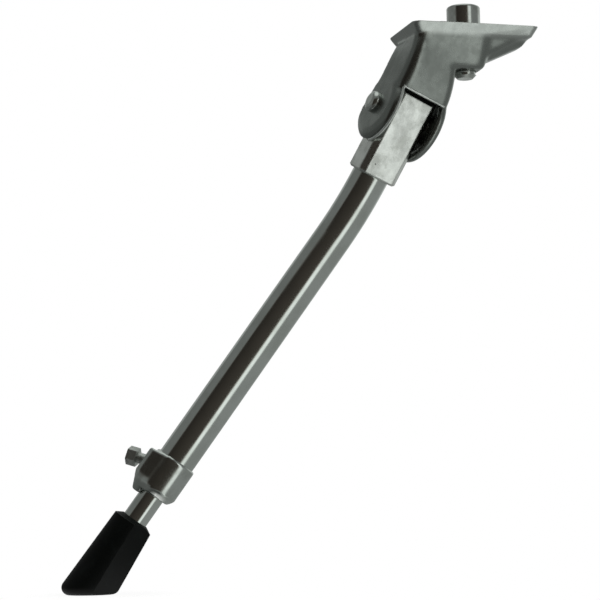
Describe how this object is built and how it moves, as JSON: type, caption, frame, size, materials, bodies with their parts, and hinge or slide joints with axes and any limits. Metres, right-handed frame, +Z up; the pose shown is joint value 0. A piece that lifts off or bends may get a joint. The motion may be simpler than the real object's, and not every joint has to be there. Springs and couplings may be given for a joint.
{
  "type": "bicycle kickstand",
  "caption": "Chromed bicycle kickstand: bolt-on top plate with a folded hood, a leg that folds about a rivet, a telescoping rod held by a clamp screw, and a rubber foot.",
  "frame": {"origin": "on the axis of the mounting bolt, at the upper face of the top plate", "axes": "+Z up, +X along the plate's long edge to the bicycle's right, +Y to the bicycle's front"},
  "size_m": [0.2187, 0.082, 0.2755],
  "materials": {
    "plated_pressing": "satin chrome plate on pressed steel",
    "plated_casting": "chrome plate on a pitted casting",
    "chromed_tube": "bright chrome plate",
    "plated_bolt": "bright plated",
    "dull_steel": "dull plated steel",
    "black_rubber": "matt moulded rubber"
  },
  "bodies": {
    "bracket": {"mount_bracket": "plated_pressing", "mounting_bolt": "plated_bolt", "mounting_washer": "plated_bolt", "pivot_rivet": "plated_pressing", "detent_spring": "dull_steel"},
    "leg": {"knuckle": "plated_casting", "leg_tube": "chromed_tube", "clamp_collar": "chromed_tube"},
    "shoe": {"pressure_shoe": "dull_steel"},
    "screw": {"clamp_screw": "dull_steel"},
    "extension": {"extension_rod": "chromed_tube", "rubber_foot": "black_rubber"}
  },
  "joints": [
    {"name": "leg_fold", "type": "hinge", "parent": "bracket", "child": "leg", "pos_m": [-0.0297, 0.0108, -0.0398], "axis": [-0.9085, -0.2148, 0.3584], "range_deg": [0, 89]},
    {"name": "shoe_lift", "type": "slide", "parent": "bracket", "child": "shoe", "axis": [0.4108, -0.3027, 0.86], "range_m": [0, 0.0012], "stiffness_N_per_m": 8000, "springref_m": -0.004, "deforming": ["detent_spring"]},
    {"name": "screw_turn", "type": "hinge", "parent": "leg", "child": "screw", "pos_m": [-0.13555, 0.04435, -0.20527], "axis": [-0.8336, 0.4731, 0.2852], "range_deg": [0, 720]},
    {"name": "rod_slide", "type": "slide", "parent": "leg", "child": "extension", "axis": [-0.5692, 0.1388, -0.8104], "range_m": [-0.0105, 0.06]}
  ]
}
